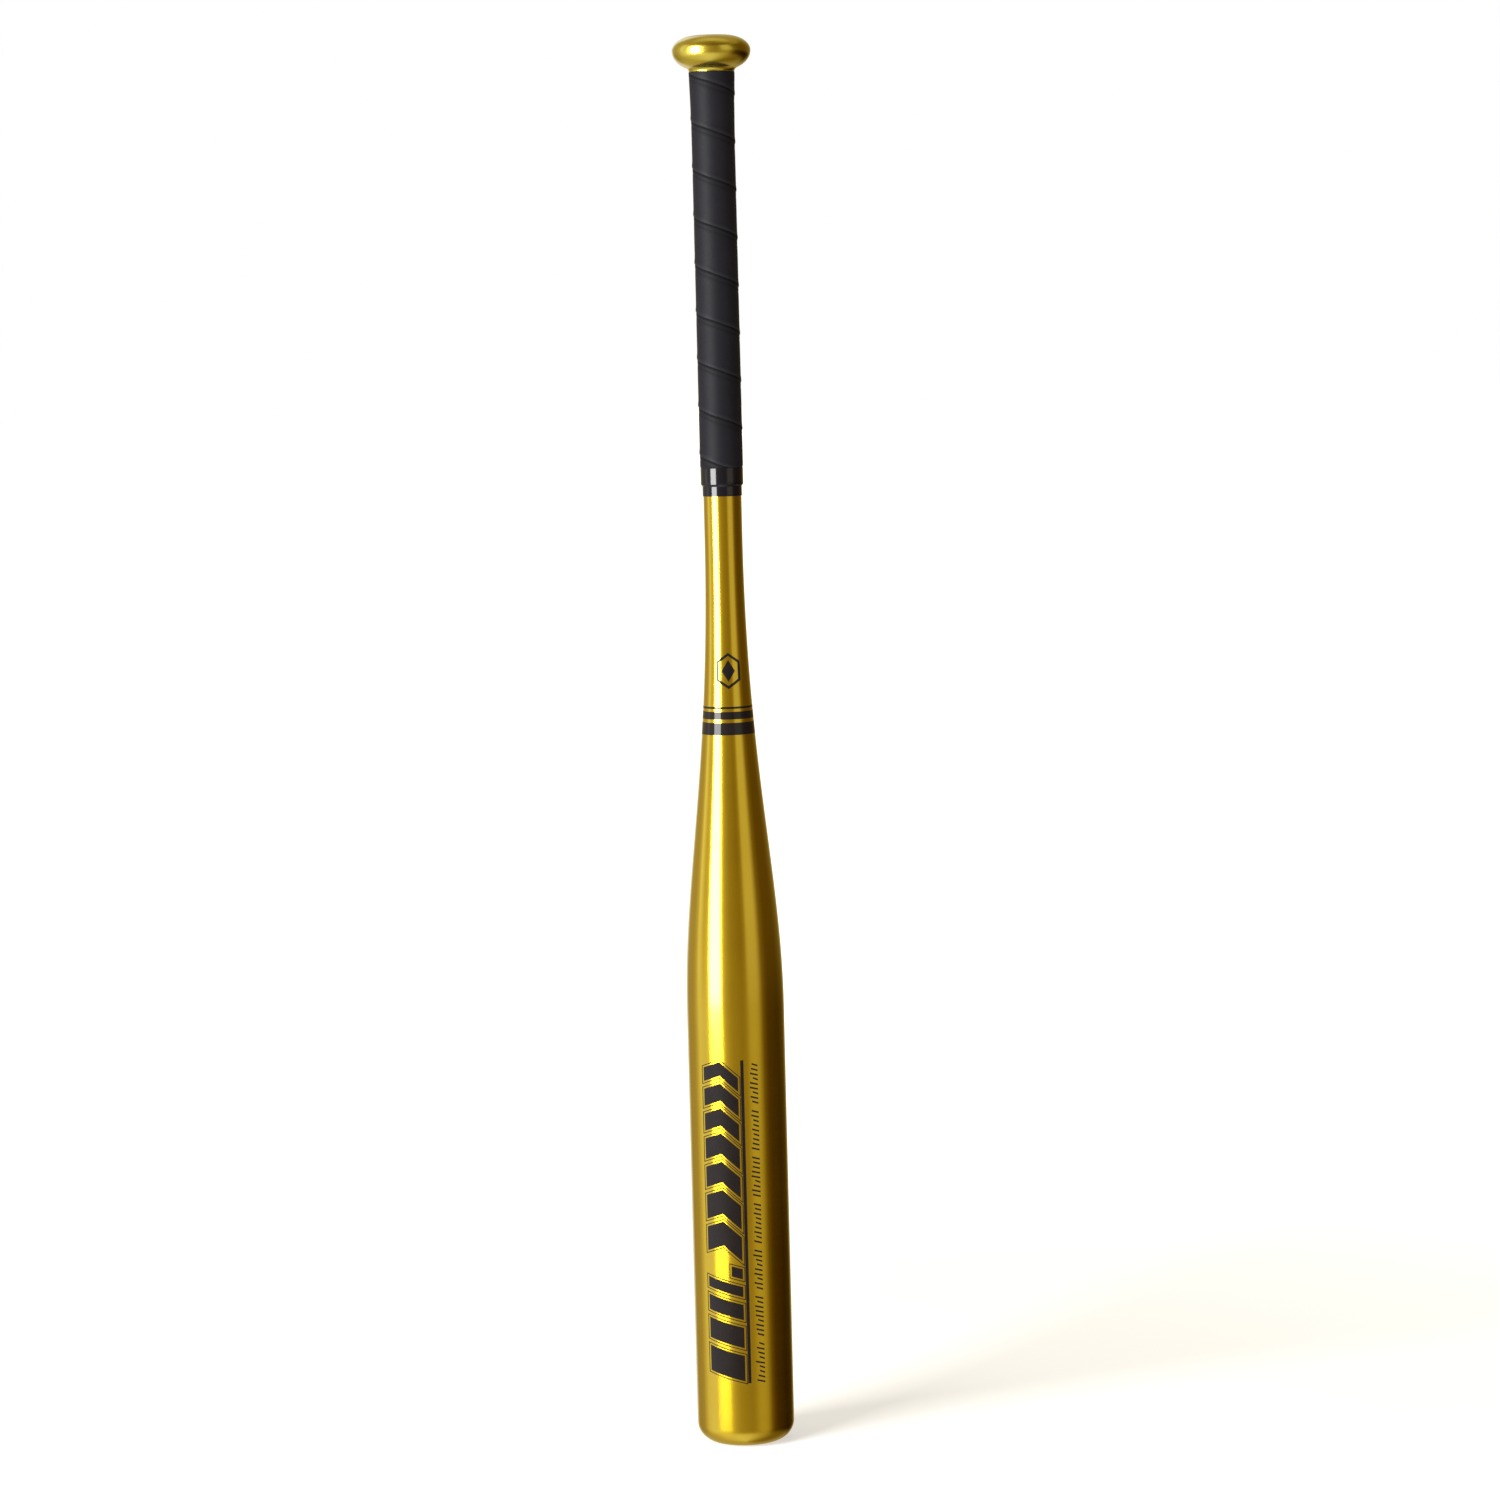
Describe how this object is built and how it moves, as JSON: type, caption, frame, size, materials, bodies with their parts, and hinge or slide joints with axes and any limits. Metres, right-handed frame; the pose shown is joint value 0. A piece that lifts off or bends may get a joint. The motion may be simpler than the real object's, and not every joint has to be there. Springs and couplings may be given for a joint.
{
  "type": "baseball bat",
  "caption": "Aluminium baseball bat with a round barrel, a long taper, a spirally wrapped grip held by tape, and a round knob.",
  "frame": {"origin": "centre of the barrel end's flat foot ring, on the bat's axis", "axes": "+Z along the bat's axis from the barrel end to the knob; -Y is the printed side"},
  "size_m": [0.0564, 0.0564, 0.8128],
  "materials": {
    "gold_shell": "gold tinted clear coat over fine turned metal",
    "gold_knob": "polished, gold tinted clear coat",
    "weld_metal": "bare weld bead",
    "plug_plastic": "moulded, black",
    "plug_rubber": "matte black rubber",
    "foam": "closed-cell foam, grey",
    "backing_tape": "double-sided tape, off-white",
    "grip": "soft matte polyurethane with a fine grain, charcoal",
    "vinyl_tape": "glossy black vinyl",
    "print_black": "black print under the clear coat"
  },
  "bodies": {
    "root": {"bat_shell": "gold_shell", "knob": "gold_knob", "knob_weld": "weld_metal", "knob_plug": "plug_plastic", "barrel_end_plug": "plug_rubber", "barrel_damper": "foam", "grip_backing_tape": "backing_tape", "grip_wrap": "grip", "finishing_tape": "vinyl_tape"}
  },
  "joints": []
}
